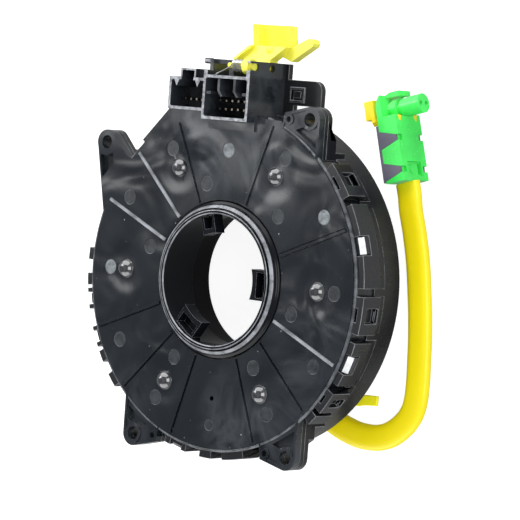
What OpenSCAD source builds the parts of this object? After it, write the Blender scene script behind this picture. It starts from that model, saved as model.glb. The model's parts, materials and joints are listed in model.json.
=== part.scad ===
// Clock spring for a steering column: a ribbed cover snapped on a drum, a rotor that turns
// with the wheel inside them, and a flat ribbon wound between the two. The bore axis is Z.
// The wheel side is down, the ribbed column side is up, and the two sockets point up at +Y.

/* [Drum] */
// Radius of the ribbed cover's rim
cover_r = 52; // [50:0.5:60]
// Thickness of the ribbed cover
cover_t = 2; // [1.6:0.1:2.6]
// Height of the drum from its wheel-side edge to the ribbed face
drum_h = 22; // [20:0.5:28]
// Thickness of the drum's wall and of the cover's skirt
wall_t = 1.8; // [1.4:0.1:2.2]
// Height of the band of snap arms below the ribbed face
band_h = 9.5; // [8:0.5:11]
// Width of the drum's inward flange on the wheel side
flange_w = 6.6; // [5:0.2:8]

/* [Bore] */
// Radius of the rotor's bore on the wheel side
rotor_bore_r = 22.4; // [20:0.1:25]
// Thickness of the rotor's sleeve
sleeve_t = 1.6; // [1.2:0.1:2]
// Radius of the lock ring's bore on the column side
ring_bore_r = 20.2; // [16.5:0.1:21]
// Height of the lock ring above the ribbed face
ring_proud = 3; // [2:0.1:4]
// Height of the three hollow tabs in the bore
tab_h = 4.2; // [3:0.2:7]
// How far each tab reaches in from the bore
tab_reach = 5.8; // [4.5:0.1:7]

/* [Wheel side] */
// Height of the hub ring below the drum
hub_h = 6; // [5:0.5:9]
// Inner radius of the hub ring
hub_r = 29.5; // [28:0.5:31]
// Thickness of the hub ring
hub_t = 3; // [2:0.5:4]

/* [Mounting ears] */
// Radius of the screw holes
ear_hole_r = 2.1; // [1.6:0.1:2.6]
// Radius of the ear around each hole
ear_r = 3.9; // [3.4:0.1:4.4]
// Half the distance between the two ears of a side, along X
ear_x = 30.7; // [28:0.1:33]
// How far the screw holes lie outside the ribbed cover's rim
ear_out = 7.53; // [6.5:0.01:9]
// Thickness of the ear on the drum
case_ear_t = 3.7; // [2.5:0.1:5]

/* [Sockets] */
// Outer width of the main socket
main_w = 18.2; // [16:0.2:22]
// Outer height of the main socket, along Y
main_h = 13.6; // [12:0.2:16]
// How far the main socket stands above the ribbed face
main_proud = 4.5; // [2:0.5:7]
// Outer width of the side socket
side_w = 17.4; // [15:0.2:20]
// Outer height of the side socket, along Y
side_h = 10.1; // [8.5:0.1:11]
// Wall of the sockets
socket_t = 0.9; // [0.8:0.1:1.3]
// Width of a square contact pin
pin_w = 0.64; // [0.5:0.02:0.9]

/* [Lock lever] */
// Radius of the lever's hinge barrel
barrel_hinge_r = 2.4; // [2:0.1:2.6]
// Radius of the pin that turns in the bay's wall
hinge_pin_r = 1.2; // [1:0.1:1.6]
// Reach of the lever's grip beyond its hinge
grip_h = 13.3; // [11:0.1:16]
// Diameter of the spring wire
wire_d = 0.4; // [0.3:0.05:0.5]

/* [Airbag lead] */
// Width of the flat sleeve
lead_w = 8; // [6:0.5:9]
// Thickness of the flat sleeve
lead_t = 4; // [3:0.25:5]
// Length of the squib plug's body
plug_l = 27.5; // [24:0.5:32]
// Width of the squib plug's body
plug_w = 6.8; // [6:0.2:9]
// Height of the squib plug's body
plug_h = 12.3; // [11:0.1:12.5]
// Radius of the barrel that enters the inflator
barrel_r = 2.95; // [2.6:0.05:3.6]
// Travel of the plug's locking key
key_travel = 1.8; // [1:0.1:2.4]

/* [Hidden] */
$fn = 72;

// Clearances
running_gap = 0.4;
fit_gap = 0.2;
seat_gap = 0.05;
cut = 1;

// Heights
case_z = hub_h;
face_z = hub_h + drum_h;
under_z = face_z - cover_t;
band_z = face_z - band_h;
flange_t = 2;
rotor_step_z = case_z + flange_t + fit_gap;
rotor_z = case_z + fit_gap;
rotor_top_z = rotor_step_z + 1.5;
sleeve_top_z = face_z - 1;
ring_top_z = face_z + ring_proud;
ring_low_z = sleeve_top_z - 10;
ring_seat_z = ring_low_z - 0.1;

// Radii
rim_step = 0.6;
case_r = cover_r + rim_step;
case_in_r = case_r - wall_t;
flange_in_r = case_r - flange_w;
rotor_r = flange_in_r - running_gap;
rotor_flange_r = case_in_r - 2.8;
sleeve_r = rotor_bore_r + sleeve_t;
cover_hole_r = sleeve_r + running_gap;
seat_r = rotor_bore_r + 0.3;
ring_r = rotor_bore_r + 0.5;
skirt_in_r = cover_r - wall_t;

// Ribs, domes and ejector marks on the ribbed face, as angles
rib_angles = [114, 71, 22, -24.5, -45.5, -70, -107.5, -134.5, -158.5, 155.5, 134.5];
ridge_angles = [-24.5, 134.5, 155.5];
rib_w = 0.9;
rib_h = 0.5;
groove_w = 0.4;
dome_orbit_r = cover_r * 0.735;
dome_r = 3.1;
dome_sink = 0.9;
mark_r = 2.4;
mark_d = 0.15;
outer_mark_r = cover_r - 7.2;
inner_mark_r = cover_hole_r + 5.6;
inner_mark_angles = [45, 105, 165, -122, -58, -15];

// Snap arms round the rim: middle angle, width in degrees, width of the opening in degrees, and
// the kind: 0 is plain, 1 is open at the top for the cover's hook, 2 is a box with two windows
arms = [[38, 12, 4.6, 2], [16, 27, 6.2, 1], [-6, 12, 4.6, 2], [-22.3, 15, 6.4, 1], [-36.5, 8, 3, 2],
    [-44.5, 4, 0, 0], [-80, 9, 0, 0], [-91.5, 5, 0, 0], [-104.5, 9, 5, 1], [-139.5, 5, 0, 0],
    [-148.5, 4, 0, 0], [-155.5, 7, 4, 1], [-168.5, 7, 4, 1], [-175, 4, 0, 0], [176.5, 4, 0, 0]];
arm_gap = 0.8;
arm_t = 2.4;
arm_in_r = cover_r + arm_gap;
arm_r = arm_in_r + arm_t;
arm_top_z = face_z - 1;
arm_low_z = band_z - 5;
notch_low_z = arm_top_z - 4.2;
window_low_z = band_z + 1.4;
window_h = 3.8;
tooth_gap = 0.4;

// Ears: the upper left one is moved out past the side socket
case_ear_z = face_z - 2.6 - case_ear_t;
cover_ear_z = face_z - 2.6;
ear_y = sqrt(pow(cover_r + ear_out, 2) - ear_x * ear_x);
far_ear = polar(cover_r + 11.4, 142.05);
ear_rim = 0.8;
ear_groove_h = 0.4;
ear_block_r = cover_r + ear_out - ear_hole_r - 0.4;
ear_block_h = 2.6;
ear_web_r = cover_r + 2;
pocket_d = 1.8;
small_post_r = 1.7;
small_post = [-8.1, -0.3];
corner_ears = [[1, 1], [1, -1], [-1, -1]];

// Main socket, lever bay and back plate
main_x0 = -8.2;
main_y0 = cover_r - 3.2;
main_x1 = main_x0 + main_w;
main_y1 = main_y0 + main_h;
main_rim_z = face_z + main_proud;
back_z = case_z + 7.4;
back_t = 2;
socket_low_z = back_z + back_t;
socket_floor_z = socket_low_z + 3.6;
side_x0 = main_x0 - side_w;
side_y0 = cover_r - 0.9;
side_y1 = side_y0 + side_h;
side_key_x0 = side_x0 + 4.2;
side_key_x1 = side_key_x0 + 6.1;
side_key_y1 = side_y1 + 2.7;
side_key_t = 0.6;
side_rim = 0.3;
bay_wall_t = 1.4;
bay_top_y = main_y1 + 4.9;
bay_x0 = main_x0 + bay_wall_t;
bay_x1 = main_x1 - bay_wall_t;
bay_mid_x = (bay_x0 + bay_x1) / 2;

// Lock lever: it hinges on a barrel whose pin turns in a slot of the bay's right wall
lever_gap = 0.4;
hinge_y = main_y1 + barrel_hinge_r + 0.8;
hinge_z = main_rim_z - 3;
lever_x0 = bay_x0 + lever_gap;
lever_x1 = bay_x1 - lever_gap;
arm_w = 2.3;
arm_y0 = hinge_y - 1.6;
arm_y1 = hinge_y + 1.6;
shelf_y0 = bay_top_y + 0.7;
shelf_y1 = shelf_y0 + 4.4;
shelf_z0 = back_z + 6.2;
shelf_z1 = back_z + 3.9;
shelf_t = 1.8;
grip_z = back_z - 0.6;
grip_top_y = hinge_y + grip_h;
grip_shift = 4.2;
spring_x1 = lever_x1 - 2.6;
spring_x0 = spring_x1 - 4.2;
spindle_r = 0.9;
saddle_x0 = spring_x0 - 2.2;
saddle_x1 = spring_x0 - 0.4;
coil_core_r = 1.4;
coil_r = 1.9;
coil_turns = 7;
coil_steps = 14;
wall_hole_r = 1.2;

// Wheel side
drive_pin_r = 2.5;
drive_pin_orbit = rotor_r - 6.6;
wheel_socket = [22, 9.5];
wheel_socket_y = rotor_r - 11.6;
clamp_x1 = 14;
clamp_y = -37;
clamp_size = [12, 9];

// Ribbon between the rotor's sleeve and the outer block
block_in_y = main_y0 - 5.3;
ribbon_t = 0.5;
ribbon_turns = 4.5;
ribbon_steps = 26;
inner_block_r = sleeve_r + 3;
ribbon_in_r = inner_block_r + running_gap;
ribbon_out_r = block_in_y - fit_gap - ribbon_t;
ribbon_z0 = rotor_top_z + 1.8;
ribbon_z1 = under_z - 1.5;
liner_t = 0.4;

// Squib plug: how far it is turned
plug_turn = 15.5;
barrel_y = plug_l - 5.1;
collar_r = barrel_r - 0.15;
collar_l = 1.9;
barrel_l = 6.6;
head_x = 1.6;
head_gap = 0.8;
plug_cover_t = 1;
flap_t = 0.8;
flaps = [3.5, 13.2];
key_zs = [plug_h / 2 - collar_r - 1.15, plug_h / 2 + collar_r + 1.15];
key_w = 1.8;
key_t = 2;
key_y = barrel_y - collar_r - 0.4;

// The lead lies on the floor from the clamp to the plug, where it rises to the plug's middle. Its
// places were measured at one rim radius, and move out with the rim
lead_z = lead_t / 2;
lead_rim_r = 52;
lead_places = [[14, -37, lead_z], [18, -37, lead_z], [22, -38, lead_z], [26, -39.8, lead_z],
    [30, -41.6, lead_z], [34, -43, lead_z], [38.5, -44, lead_z], [43, -44.2, lead_z],
    [47, -43.7, lead_z], [50.6, -42.3, lead_z], [53.7, -40.1, lead_z], [56.3, -37.4, lead_z],
    [58.1, -34.2, lead_z], [58.9, -30.6, lead_z], [59.1, -27, lead_z], [59.1, -23.5, lead_z],
    [58.9, -18.5, lead_z], [58.7, -13.5, lead_z], [58.3, -8.5, lead_z], [57.8, -3.5, lead_z],
    [57.2, 1, lead_z], [56.6, 5.3, lead_z], [56, 9, lead_z], [55.5, 12.4, 2.2],
    [55, 16, 2.7], [54.6, 19.6, 3.4], [54.2, 23.1, 4.3], [53.9, 26.7, 5.3]];
plug_place = [52.7, 34.35];

function moved_out(x) = clamp_x1 + (x - clamp_x1) * cover_r / lead_rim_r;
plug_at = [moved_out(plug_place.x), plug_place.y];
function before_plug(gap) = [plug_at.x + gap * sin(plug_turn), plug_at.y - gap * cos(plug_turn), plug_h / 2];
lead_route = concat([for (p = lead_places) [moved_out(p.x), p.y, p.z]],
    [before_plug(3.8) - [0, 0, 0.1], before_plug(0.1)]);

function along(path, i) = i == 0 ? path[1] - path[0]
    : i == len(path) - 1 ? path[i] - path[i - 1]
    : path[i + 1] - path[i - 1];
function unit(v) = v / norm(v);
function polar(r, angle) = [r * cos(angle), r * sin(angle)];
// One ring of an oval tube: its width lies flat across the way, its thickness across both
function oval_ring(at, way, width, thick, sides) =
    let (t = unit(way), across = unit(cross(t, [0, 0, 1])), up = cross(across, t))
    [for (k = [0:sides - 1])
        at + across * (width / 2 * cos(360 * k / sides)) + up * (thick / 2 * sin(360 * k / sides))];
function tube_faces(rings, sides) = concat(
    [[for (k = [0:sides - 1]) k]],
    [for (i = [0:rings - 2], k = [0:sides - 1])
        let (a = i * sides + k, b = i * sides + (k + 1) % sides)
        each [[a, a + sides, b + sides], [a, b + sides, b]]],
    [[for (k = [sides - 1:-1:0]) (rings - 1) * sides + k]]);

module tube(path, width, thick, sides) {
    points = [for (i = [0:len(path) - 1]) each oval_ring(path[i], along(path, i), width, thick, sides)];
    polyhedron(points, tube_faces(len(path), sides));
}

// A solid of revolution through an angle, from a profile of radius and height
module sweep(profile, middle, width) {
    rotate([0, 0, middle - width / 2])
        rotate_extrude(angle = width)
            polygon(profile);
}

module disc_ring(outer, inner, low, high) {
    translate([0, 0, low])
        difference() {
            cylinder(r = outer, h = high - low);
            translate([0, 0, -cut])
                cylinder(r = inner, h = high - low + 2 * cut);
        }
}

module block(x0, x1, y0, y1, z0, z1) {
    translate([x0, y0, z0])
        cube([x1 - x0, y1 - y0, z1 - z0]);
}

// A block whose upright edges are rounded
module round_block(x0, x1, y0, y1, z0, z1, r) {
    translate([0, 0, z0])
        linear_extrude(z1 - z0) {
            translate([x0 + r, y0])
                square([x1 - x0 - 2 * r, y1 - y0]);
            translate([x0, y0 + r])
                square([x1 - x0, y1 - y0 - 2 * r]);
            for (x = [x0 + r, x1 - r], y = [y0 + r, y1 - r])
                translate([x, y])
                    circle(r = r);
        }
}

// A bar along X with a round section, given where its axis crosses Y and Z
module x_pin(radius, x0, x1, y, z) {
    translate([x0, y, z])
        rotate([0, 90, 0])
            cylinder(r = radius, h = x1 - x0);
}

// An outline in Y and Z, pushed along X
module x_plate(outline, x0, x1) {
    translate([x0, 0, 0])
        rotate([90, 0, 90])
            linear_extrude(x1 - x0)
                polygon(outline);
}

// Outline of a corner ear round its hole, turned for the upper right one and drawn in by the inset
module corner_ear_outline(inset) {
    circle(r = ear_r - inset);
    polygon([[ear_r - inset, 0], [ear_r - inset, -13], [-10.7, -5], [-9.7 + inset, 1.6 - inset],
        [-1.2, ear_r - 0.2 - inset]]);
    translate(small_post)
        circle(r = 2 - inset);
}

module far_ear_outline(inset) {
    circle(r = ear_r - inset);
    polygon([[inset - ear_r, 0], [0.4 + inset, -21.5], [12, -5], [8.6 - inset, -3.6 - inset],
        [2.6 - inset, 2.9 - inset]]);
}

module at_corner_ears() {
    for (side = corner_ears)
        scale([side.x, side.y, 1])
            translate([ear_x, ear_y, 0])
                children();
}

module ear_outlines(inset) {
    at_corner_ears()
        corner_ear_outline(inset);
    translate(far_ear)
        far_ear_outline(inset);
}

module ear_holes() {
    at_corner_ears()
        cylinder(r = ear_hole_r, h = face_z + cut);
    translate(far_ear)
        cylinder(r = ear_hole_r, h = face_z + cut);
}

// A shallow field inside each ear's rim, with a deep triangular pocket between hole and face; the
// bosses of the holes and the small posts keep their full height
module ear_pockets() {
    translate([0, 0, face_z - 0.4])
        linear_extrude(cut)
            difference() {
                at_corner_ears()
                    difference() {
                        corner_ear_outline(ear_rim);
                        circle(r = ear_hole_r + 1);
                        translate(small_post)
                            circle(r = small_post_r);
                    }
                circle(r = cover_r);
            }
    translate([0, 0, face_z - pocket_d])
        linear_extrude(pocket_d + cut) {
            at_corner_ears()
                polygon([[-5.5, -3.4], [-2.9, -2.4], [1.9, -3.8], [2.6, -4.4], [2.7, -8.4]]);
            translate(far_ear)
                polygon([[-2.4, -4], [-0.9, -11.4], [3.4, -6.2], [2.8, -3.2], [0.2, -4.4]]);
        }
    at_corner_ears()
        translate([small_post.x, small_post.y, face_z - 1.2])
            cylinder(r = small_post_r - 0.8, h = 1.2 + cut);
}

// The ribbed face with its skirt and the collar round its hole
module cover_shell() {
    rotate_extrude()
        polygon([[cover_hole_r, under_z - 1.2], [cover_hole_r + 1.4, under_z - 1.2],
            [cover_hole_r + 1.4, under_z], [skirt_in_r, under_z], [skirt_in_r, band_z],
            [cover_r, band_z], [cover_r, face_z], [cover_hole_r, face_z]]);
    translate([0, 0, under_z])
        linear_extrude(cover_t)
            polygon([polar(cover_r - 2.5, 136.6), polar(cover_r, 137.7), [side_x0 + 1, side_y0 + 0.6],
                [main_x0 + 0.5, side_y0 + 0.6], [main_x0 + 0.5, cover_r - 2], [20, cover_r - 2],
                polar(cover_r - 3.1, 59.2), [0, cover_r - 12]]);
    translate([0, 0, under_z + 0.3])
        linear_extrude(cover_t - 1)
            polygon([polar(cover_r + 0.2, 131), polar(cover_r + 2.1, 131.3),
                [side_x0 - 0.2, side_y0 - 0.2], [side_x0 + 1.4, side_y0 - 2.1]]);
}

module face_ribs() {
    for (a = rib_angles)
        rotate([0, 0, a])
            block(cover_hole_r + 0.6, cover_r - 0.8, -rib_w / 2, rib_w / 2, face_z - cover_t / 2,
                face_z + rib_h);
}

module face_grooves() {
    for (a = rib_angles)
        if (len([for (b = ridge_angles) if (a == b) a]) == 0)
            rotate([0, 0, a])
                block(cover_hole_r + 0.6, cover_r - 0.8, rib_w / 2, rib_w / 2 + groove_w,
                    face_z - rib_h, face_z + cut);
}

module face_domes() {
    for (k = [0:5])
        rotate([0, 0, 60 * k])
            translate([dome_orbit_r, 0, face_z - dome_sink])
                intersection() {
                    sphere(r = dome_r);
                    translate([0, 0, dome_sink - cover_t / 2])
                        cylinder(r = dome_r + cut, h = dome_r);
                }
}

module ejector_marks() {
    translate([0, 0, face_z - mark_d]) {
        for (k = [0:11])
            rotate([0, 0, 30 * k])
                translate([k == 3 ? outer_mark_r - 5 : outer_mark_r, 0, 0])
                    cylinder(r = k == 9 ? mark_r - 0.6 : mark_r, h = cut);
        for (a = inner_mark_angles)
            rotate([0, 0, a])
                translate([inner_mark_r, 0, 0])
                    cylinder(r = mark_r, h = cut);
    }
}

// Hooks on the cover's skirt that catch in the arms
module snap_teeth() {
    for (arm = arms) {
        if (arm[3] == 1)
            sweep([[cover_r - 1, notch_low_z + tooth_gap], [arm_r, notch_low_z + tooth_gap],
                [arm_r, arm_top_z - 1.9], [arm_r - 1.2, arm_top_z - 0.3],
                [cover_r - 1, arm_top_z - 0.3]], arm[0], arm[2] - 0.8);
        if (arm[3] == 2)
            sweep([[cover_r - 1, window_low_z + tooth_gap], [arm_in_r + 0.8, window_low_z + tooth_gap],
                [arm_in_r + 0.8, window_low_z + 1.4], [cover_r - 1, window_low_z + window_h - 0.6]],
                arm[0], arm[2] - 0.8);
    }
}

module main_socket_shell() {
    block(main_x0, main_x1, main_y0, main_y1, socket_low_z, main_rim_z);
    block(main_x0, bay_x0, main_y1 - cut, main_y1 + 1.3, socket_low_z, main_rim_z);
    block(main_x0, bay_x0, main_y1, bay_top_y, socket_low_z, main_rim_z - 2.6);
    block(bay_x1, main_x1, main_y1 - cut, bay_top_y, socket_low_z, main_rim_z);
    block(main_x0, main_x1, main_y0 - 2.8, main_y0, under_z, face_z + 0.8);
}

module main_socket_hollow() {
    round_block(main_x0 + socket_t, main_x1 - socket_t, main_y0 + socket_t, main_y1 - socket_t,
        socket_floor_z, main_rim_z + cut, 0.8);
}

// Coding ribs that hang from the main socket's roof, with bent tips, and a nub on each side
module main_socket_keys() {
    roof = main_y1 - socket_t;
    for (x = [main_x0 + 5.4, main_x0 + 11.6]) {
        block(x, x + 0.9, roof - 3.8, roof + 0.5, socket_floor_z, main_rim_z - 0.4);
        translate([0, 0, socket_floor_z])
            linear_extrude(main_rim_z - 0.4 - socket_floor_z)
                polygon([[x, roof - 3.8], [x + 0.9, roof - 3.8], [x + 2.2, roof - 5.4],
                    [x + 1.4, roof - 5.6]]);
    }
    block(main_x0 + 0.5, main_x0 + 2.9, roof - 5, roof - 4.1, socket_floor_z, main_rim_z - 0.4);
    block(main_x1 - 2.9, main_x1 - 0.5, roof - 5, roof - 4.1, socket_floor_z, main_rim_z - 0.4);
}

// The side socket has a raised rim, and a keyway above it that is open at the face
module side_socket_shell() {
    block(side_x0, main_x0 + cut, side_y0, side_y1, socket_low_z, face_z + side_rim);
    block(side_key_x0, side_key_x1, side_y1 - cut, side_key_y1, socket_low_z, face_z);
    block(side_key_x0, main_x0 + cut, side_y1 - cut, side_key_y1, socket_low_z, face_z - 2.2);
}

module side_socket_hollow() {
    roof = side_y1 - socket_t;
    round_block(side_x0 + socket_t, main_x0 - 0.6, side_y0 + socket_t, roof, socket_floor_z,
        face_z + cut, 0.8);
    block(side_key_x0 + side_key_t, side_key_x1 - side_key_t, roof - cut, side_key_y1 - side_key_t,
        socket_floor_z, face_z + cut);
}

// Two small teeth that hang from the side socket's roof, one on each side of the keyway
module side_socket_keys() {
    roof = side_y1 - socket_t;
    for (x = [side_key_x0 - 1.2, side_key_x1 + 1.1])
        translate([0, 0, socket_floor_z])
            linear_extrude(face_z + side_rim - socket_floor_z)
                polygon([[x - 1.2, roof + 0.3], [x, roof - 2], [x + 1.2, roof + 0.3]]);
}

// Slot for the hinge pin, open to the column side, and a round hole below it
module bay_cuts() {
    x_pin(hinge_pin_r + seat_gap, bay_x1 - cut, main_x1 + cut, hinge_y, hinge_z);
    block(bay_x1 - cut, main_x1 + cut, hinge_y - hinge_pin_r * 0.9, hinge_y + hinge_pin_r * 0.9,
        hinge_z, main_rim_z + cut);
    x_pin(wall_hole_r, bay_x1 - cut, main_x1 + cut, hinge_y - 0.2, hinge_z - 7.5);
}

// Open bearing for the free end of the lever's spindle
module saddle() {
    difference() {
        x_plate([[main_y1 - cut, hinge_z], [main_y1 - cut, hinge_z - 6.5], [main_y1, hinge_z - 6.5],
            [hinge_y + 1.6, hinge_z - 3], [hinge_y + 1.6, hinge_z]], saddle_x0, saddle_x1);
        x_pin(spindle_r + seat_gap, saddle_x0 - cut, saddle_x1 + cut, hinge_y, hinge_z);
    }
}

// Bar with a knob across the back of the bay, below the spindle and joined to its bearing
module bay_bar() {
    bar_z1 = hinge_z - spindle_r - 0.2;
    bar_y0 = hinge_y + 0.3;
    block(main_x0 - 1.2, saddle_x1, bar_y0, bar_y0 + 1.4, bar_z1 - 1.4, bar_z1);
    x_pin(0.9, main_x0 - 3.5, main_x0 - 0.9, bar_y0 + 0.7, bar_z1 - 0.7);
}

module cover() {
    color("#22262c")
        difference() {
            union() {
                cover_shell();
                translate([0, 0, cover_ear_z])
                    linear_extrude(face_z - cover_ear_z)
                        difference() {
                            ear_outlines(0);
                            circle(r = skirt_in_r + 0.5);
                        }
                face_ribs();
                face_domes();
                snap_teeth();
                main_socket_shell();
                side_socket_shell();
                saddle();
                bay_bar();
            }
            ear_holes();
            ear_pockets();
            face_grooves();
            ejector_marks();
            main_socket_hollow();
            side_socket_hollow();
            bay_cuts();
        }
    color("#22262c") {
        main_socket_keys();
        side_socket_keys();
    }
}

// A box arm is thicker, and has a slot behind its face and a window in it
module snap_arms() {
    for (arm = arms) {
        box = arm[3] == 2;
        outer = box ? arm_r + 0.5 : arm_r;
        top = box ? arm_top_z + 0.5 : arm_top_z;
        difference() {
            sweep([[case_r - 1, arm_low_z], [case_r, arm_low_z], [outer, arm_low_z + 3],
                [outer, top], [arm_in_r, top], [arm_in_r, band_z - 0.3], [case_r - 1, band_z - 0.3]],
                arm[0], arm[1]);
            if (arm[3] == 1)
                sweep([[cover_r, notch_low_z], [arm_r + cut, notch_low_z],
                    [arm_r + cut, arm_top_z + cut], [cover_r, arm_top_z + cut]], arm[0], arm[2]);
            if (box) {
                sweep([[cover_r, window_low_z], [arm_in_r + 1, window_low_z],
                    [arm_in_r + 1, face_z + cut], [cover_r, face_z + cut]], arm[0], arm[2]);
                sweep([[outer - 1, window_low_z], [outer + cut, window_low_z],
                    [outer + cut, window_low_z + window_h], [outer - 1, window_low_z + window_h]],
                    arm[0], arm[2]);
            }
        }
    }
}

// The ears' outlines, kept outside one radius and inside another
module ear_band(inset, inner, outer) {
    difference() {
        intersection() {
            ear_outlines(inset);
            circle(r = outer);
        }
        circle(r = inner);
    }
}

// Ears in two layers with a groove between them, a block behind, and a web down to the drum
module ear_posts() {
    far = cover_r + 20;
    inner = cover_r + fit_gap;
    groove_z = case_ear_z + case_ear_t * 0.55;
    translate([0, 0, case_ear_z])
        linear_extrude(case_ear_t)
            ear_band(0.6, inner, far);
    translate([0, 0, case_ear_z])
        linear_extrude(groove_z - case_ear_z)
            ear_band(0, inner, far);
    translate([0, 0, groove_z + ear_groove_h])
        linear_extrude(case_ear_z + case_ear_t - groove_z - ear_groove_h)
            ear_band(0, inner, far);
    translate([0, 0, case_ear_z - ear_block_h])
        linear_extrude(ear_block_h + cut)
            ear_band(0, inner, ear_block_r);
    translate([0, 0, band_z - 4])
        linear_extrude(case_ear_z - band_z + 4 + cut)
            ear_band(0, inner, ear_web_r);
    translate([0, 0, band_z - 4])
        linear_extrude(4)
            ear_band(0, case_in_r, ear_web_r);
}

module back_plate_outline() {
    corner_r = 3;
    flag_x1 = main_x1 + 14.6;
    flag_y1 = main_y1 + 0.2;
    flag_y0 = flag_y1 - 7.8;
    polygon([[side_x0, cover_r - 12], [side_x0, side_y1], [side_key_x0, side_y1], [side_key_x0, side_key_y1],
        [main_x0, side_key_y1], [main_x0, bay_top_y], [main_x1 + 1.3, bay_top_y],
        [main_x1 + 1.3, flag_y1],
        [flag_x1 - corner_r, flag_y1], [flag_x1, flag_y1 - corner_r], [flag_x1, flag_y0],
        [main_x1 + 4, flag_y0], [main_x1 + 4, cover_r - 12]]);
    translate([flag_x1 - corner_r, flag_y1 - corner_r])
        circle(r = corner_r);
}

module case() {
    color("#1b1e22")
        difference() {
            union() {
                disc_ring(case_r, case_in_r, case_z, band_z);
                disc_ring(case_r, flange_in_r, case_z, case_z + flange_t);
                snap_arms();
                ear_posts();
                translate([0, 0, back_z])
                    linear_extrude(back_t)
                        difference() {
                            back_plate_outline();
                            circle(r = case_in_r);
                        }
                block(main_x1 + 2.4, main_x1 + 8.2, main_y1 - 6.6, main_y1 - 2, back_z + 1,
                    back_z + back_t + 0.5);
            }
            ear_holes();
            block(side_x0 - fit_gap, main_x1 + fit_gap, main_y0 - fit_gap, main_y1, socket_low_z,
                band_z + cut);
            difference() {
                block(main_x1 + 3, main_x1 + 7.6, main_y1 - 6, main_y1 - 2.6, back_z + 1,
                    back_z + back_t + cut);
                block(main_x1 + 3.8, main_x1 + 6.6, main_y1 - 5.2, main_y1 - 3.1, back_z,
                    back_z + back_t);
            }
        }
}

module rotor() {
    color("#202327")
        difference() {
            union() {
                rotate_extrude()
                    polygon([[rotor_bore_r, rotor_z], [hub_r, rotor_z], [hub_r, 0], [hub_r + hub_t, 0],
                        [hub_r + hub_t, rotor_z], [rotor_r, rotor_z], [rotor_r, rotor_step_z],
                        [rotor_flange_r, rotor_step_z], [rotor_flange_r, rotor_top_z],
                        [sleeve_r, rotor_top_z], [sleeve_r, sleeve_top_z],
                        [seat_r, sleeve_top_z], [seat_r, ring_seat_z],
                        [rotor_bore_r, ring_seat_z]]);
                for (a = [0, 180])
                    rotate([0, 0, a])
                        translate([drive_pin_orbit, 0, 0.6])
                            cylinder(r = drive_pin_r, h = rotor_z);
                translate([-wheel_socket.x / 2, wheel_socket_y, 0.2])
                    cube([wheel_socket.x, wheel_socket.y, rotor_z]);
            }
            translate([socket_t - wheel_socket.x / 2, wheel_socket_y + socket_t, -cut])
                cube([wheel_socket.x - 2 * socket_t, wheel_socket.y - 2 * socket_t,
                    rotor_step_z + cut]);
        }
}

// A hollow tab in the bore: one cell open to the column side, with a concave inner face
module bore_tab(angle, width) {
    inner_r = ring_bore_r - tab_reach;
    top = ring_top_z - 1.5;
    low = top - tab_h;
    rotate([0, 0, angle])
        difference() {
            intersection() {
                block(inner_r - 4, ring_bore_r + 0.8, -width / 2, width / 2, low, top);
                disc_ring(ring_bore_r + 0.8, inner_r, low, top);
            }
            block(inner_r + 1.5, ring_bore_r - 0.4, 0.8 - width / 2, width / 2 - 0.8, low + 0.8, top + cut);
        }
}

// The ring's top falls outwards in two rims with a groove between them
module lock_ring() {
    spigot_r = seat_r - seat_gap;
    groove_r = ring_bore_r + 1.2;
    color("#23262b") {
        rotate_extrude()
            polygon([[ring_bore_r, ring_low_z], [spigot_r, ring_low_z], [spigot_r, sleeve_top_z],
                [ring_r, sleeve_top_z], [ring_r, ring_top_z - 1.2], [ring_r - 0.4, ring_top_z - 0.8],
                [groove_r + 0.6, ring_top_z - 0.5], [groove_r + 0.6, ring_top_z - 1.1],
                [groove_r, ring_top_z - 1.1], [groove_r, ring_top_z - 0.1],
                [groove_r - 0.3, ring_top_z], [ring_bore_r + 0.3, ring_top_z],
                [ring_bore_r, ring_top_z - 0.3]]);
        bore_tab(105.3, 4.9);
        bore_tab(-0.5, 9.3);
        bore_tab(-125.5, 8.6);
    }
}

function spiral_point(t, side) =
    let (r = ribbon_in_r + (ribbon_out_r - ribbon_in_r) * t + side * ribbon_t / 2,
        a = -90 + 360 * ribbon_turns * t)
    [r * cos(a), r * sin(a)];

module ribbon_cable() {
    steps = ribbon_turns * ribbon_steps;
    color("#c8ccd0")
        translate([0, 0, ribbon_z0])
            linear_extrude(ribbon_z1 - ribbon_z0)
                polygon(concat(
                    [for (i = [0:steps]) spiral_point(i / steps, 1)],
                    [for (i = [steps:-1:0]) spiral_point(i / steps, -1)]));
}

module upper_liner() {
    color("#d8d8d0")
        difference() {
            disc_ring(skirt_in_r - 0.6, cover_hole_r + 2, under_z - liner_t, under_z);
            block(main_x0 - 1, main_x1 + 1, block_in_y - 0.5, cover_r, under_z - cut, under_z + cut);
        }
}

module lower_liner() {
    color("#d8d8d0")
        disc_ring(rotor_flange_r - 0.4, sleeve_r + 0.3, rotor_top_z, rotor_top_z + liner_t);
}

module outer_terminal_block() {
    color("#e6e2d6")
        block(bay_mid_x - 7, bay_mid_x + 7, block_in_y, main_y0, rotor_top_z + 1, under_z - 0.2);
}

module inner_terminal_block() {
    color("#e6e2d6")
        sweep([[sleeve_r + seat_gap, rotor_top_z + liner_t + 0.1], [inner_block_r, rotor_top_z + liner_t + 0.1],
            [inner_block_r, under_z - 1.6], [sleeve_r + seat_gap, under_z - 1.6]], -90, 34);
}

// Rows of square pins that stand on a socket's floor
module pins(count, x0, pitch, rows, low, high) {
    for (y = rows, k = [0:count - 1])
        block(x0 + k * pitch - pin_w / 2, x0 + k * pitch + pin_w / 2, y - pin_w / 2, y + pin_w / 2,
            low, high);
}

module main_socket_pins() {
    color("#c9a24a")
        pins(6, main_x0 + 3.1, 2.4, [main_y0 + 3.4, main_y0 + 6], socket_floor_z, main_rim_z - 5);
}

module side_socket_pins() {
    color("#c9a24a")
        pins(6, side_x0 + 3, 2.2, [side_y0 + 3.4], socket_floor_z, face_z - 4.6);
}

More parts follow.
